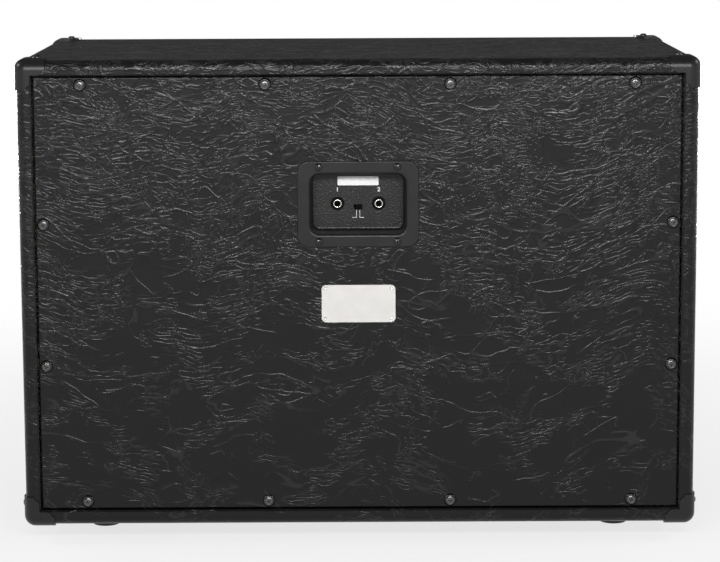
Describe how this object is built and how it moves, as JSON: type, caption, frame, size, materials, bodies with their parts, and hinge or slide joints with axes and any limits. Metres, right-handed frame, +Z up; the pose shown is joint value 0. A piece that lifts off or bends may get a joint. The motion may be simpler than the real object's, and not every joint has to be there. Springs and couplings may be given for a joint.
{
  "type": "guitar speaker cabinet",
  "caption": "Closed-back guitar speaker cabinet in black grained vinyl, with a recessed rear panel, jack dish with slide switch, corner protectors, side handles and cloth grille.",
  "frame": {"origin": "on the ground, below the middle of the cabinet", "axes": "+Z up, -Y towards the grille, +Y towards the rear panel, +X to the right seen from the grille"},
  "size_m": [0.7262, 0.3591, 0.5226],
  "materials": {
    "plywood": "sanded",
    "grained_vinyl": "levant grain",
    "black_moulding": "satin",
    "black_steel": "black oxide",
    "dark_steel": "dark zinc",
    "bright_nickel": "polished",
    "pale_plate": "printed, warm white",
    "black_rubber": "matte",
    "grille_weave": "coarse plain weave",
    "zinc_steel": "zinc plated",
    "basket_paint": "semi gloss",
    "ferrite": "ground",
    "cone_paper": "felted",
    "doped_cloth": "doped",
    "coil_wire": "wound",
    "copper_braid": "braided"
  },
  "bodies": {
    "cabinet": {"top_board": "plywood", "bottom_board": "plywood", "right_board": "plywood", "left_board": "plywood", "shell_covering": "grained_vinyl", "rear_panel": "plywood", "rear_panel_covering": "grained_vinyl", "rear_cleats": "plywood", "cup_washers": "black_steel", "rear_panel_screws": "dark_steel", "jack_dish": "black_moulding", "jack_dish_screws": "black_steel", "jack_right": "black_moulding", "jack_left": "black_moulding", "jack_ferrules": "bright_nickel", "jack_nuts": "black_moulding", "switch_body": "black_moulding", "rating_plate": "pale_plate", "rating_plate_rivets": "bright_nickel", "rear_corner_protectors": "black_moulding", "front_corner_protectors": "black_moulding", "corner_screws": "black_steel", "rubber_feet": "black_rubber", "foot_screws": "dark_steel", "side_handle_right": "black_moulding", "side_handle_left": "black_moulding", "handle_screws": "black_steel", "grille_frame": "plywood", "grille_cloth": "grille_weave", "hook_and_loop_strips": "grille_weave", "baffle_board": "plywood", "front_cleats": "plywood", "baffle_screws": "black_steel", "speaker_bolts": "black_steel", "baffle_inserts": "zinc_steel", "speaker_gaskets": "black_rubber", "speaker_terminals": "bright_nickel", "speaker_cables": "black_rubber", "basket_right": "basket_paint", "surround_right": "doped_cloth", "spider_right": "doped_cloth", "yoke_right": "zinc_steel", "top_plate_right": "zinc_steel", "magnet_right": "ferrite", "tinsel_leads_right": "copper_braid", "basket_left": "basket_paint", "surround_left": "doped_cloth", "spider_left": "doped_cloth", "yoke_left": "zinc_steel", "top_plate_left": "zinc_steel", "magnet_left": "ferrite", "tinsel_leads_left": "copper_braid"},
    "switch_slider": {"switch_slider": "black_moulding"},
    "cone_right": {"cone_right": "cone_paper", "dust_cap_right": "cone_paper", "voice_coil_right": "coil_wire"},
    "cone_left": {"cone_left": "cone_paper", "dust_cap_left": "cone_paper", "voice_coil_left": "coil_wire"}
  },
  "joints": [
    {"name": "mode_switch_slide", "type": "slide", "parent": "cabinet", "child": "switch_slider", "axis": [1, 0, 0], "range_m": [0, 0.004]},
    {"name": "cone_right_stroke", "type": "slide", "parent": "cabinet", "child": "cone_right", "axis": [0, -1, 0], "range_m": [-0.003, 0.003], "stiffness_N_per_m": 8000, "deforming": ["surround_right", "spider_right", "tinsel_leads_right"]},
    {"name": "cone_left_stroke", "type": "slide", "parent": "cabinet", "child": "cone_left", "axis": [0, -1, 0], "range_m": [-0.003, 0.003], "stiffness_N_per_m": 8000, "deforming": ["surround_left", "spider_left", "tinsel_leads_left"]}
  ]
}
